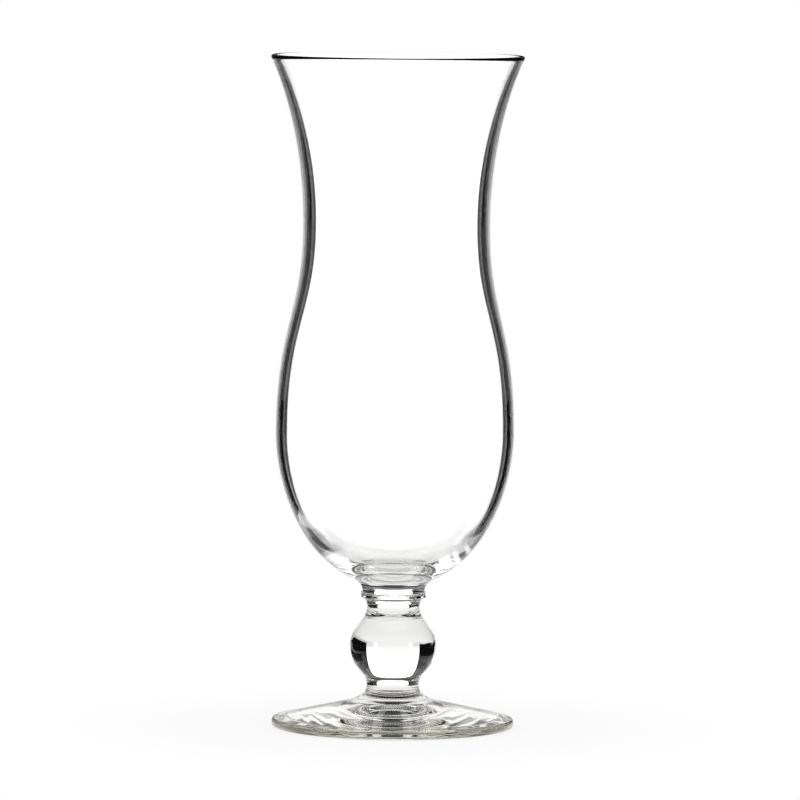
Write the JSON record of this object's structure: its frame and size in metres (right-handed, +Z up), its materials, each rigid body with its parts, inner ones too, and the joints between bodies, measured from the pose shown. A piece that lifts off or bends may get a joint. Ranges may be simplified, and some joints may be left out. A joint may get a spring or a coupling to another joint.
{
  "type": "hurricane glass",
  "caption": "Tall clear stemmed cocktail glass with a flared mouth, a drawn-in waist, a round belly, a ball stem and a shallow cone foot.",
  "frame": {"origin": "centre of the flat ring under the foot, on the surface that the glass stands on", "axes": "+Z up along the glass's axis, from foot to rim; the glass is round, so X and Y are free"},
  "size_m": [0.0782, 0.0782, 0.208],
  "materials": {
    "blown_glass": "clear blown soda-lime glass with a fire-polished rim",
    "pressed_glass": "clear pressed soda-lime glass, fire-polished, faintly wavy on the foot"
  },
  "bodies": {
    "root": {"bowl": "blown_glass", "collar": "pressed_glass", "stem": "pressed_glass", "foot": "pressed_glass"}
  },
  "joints": []
}
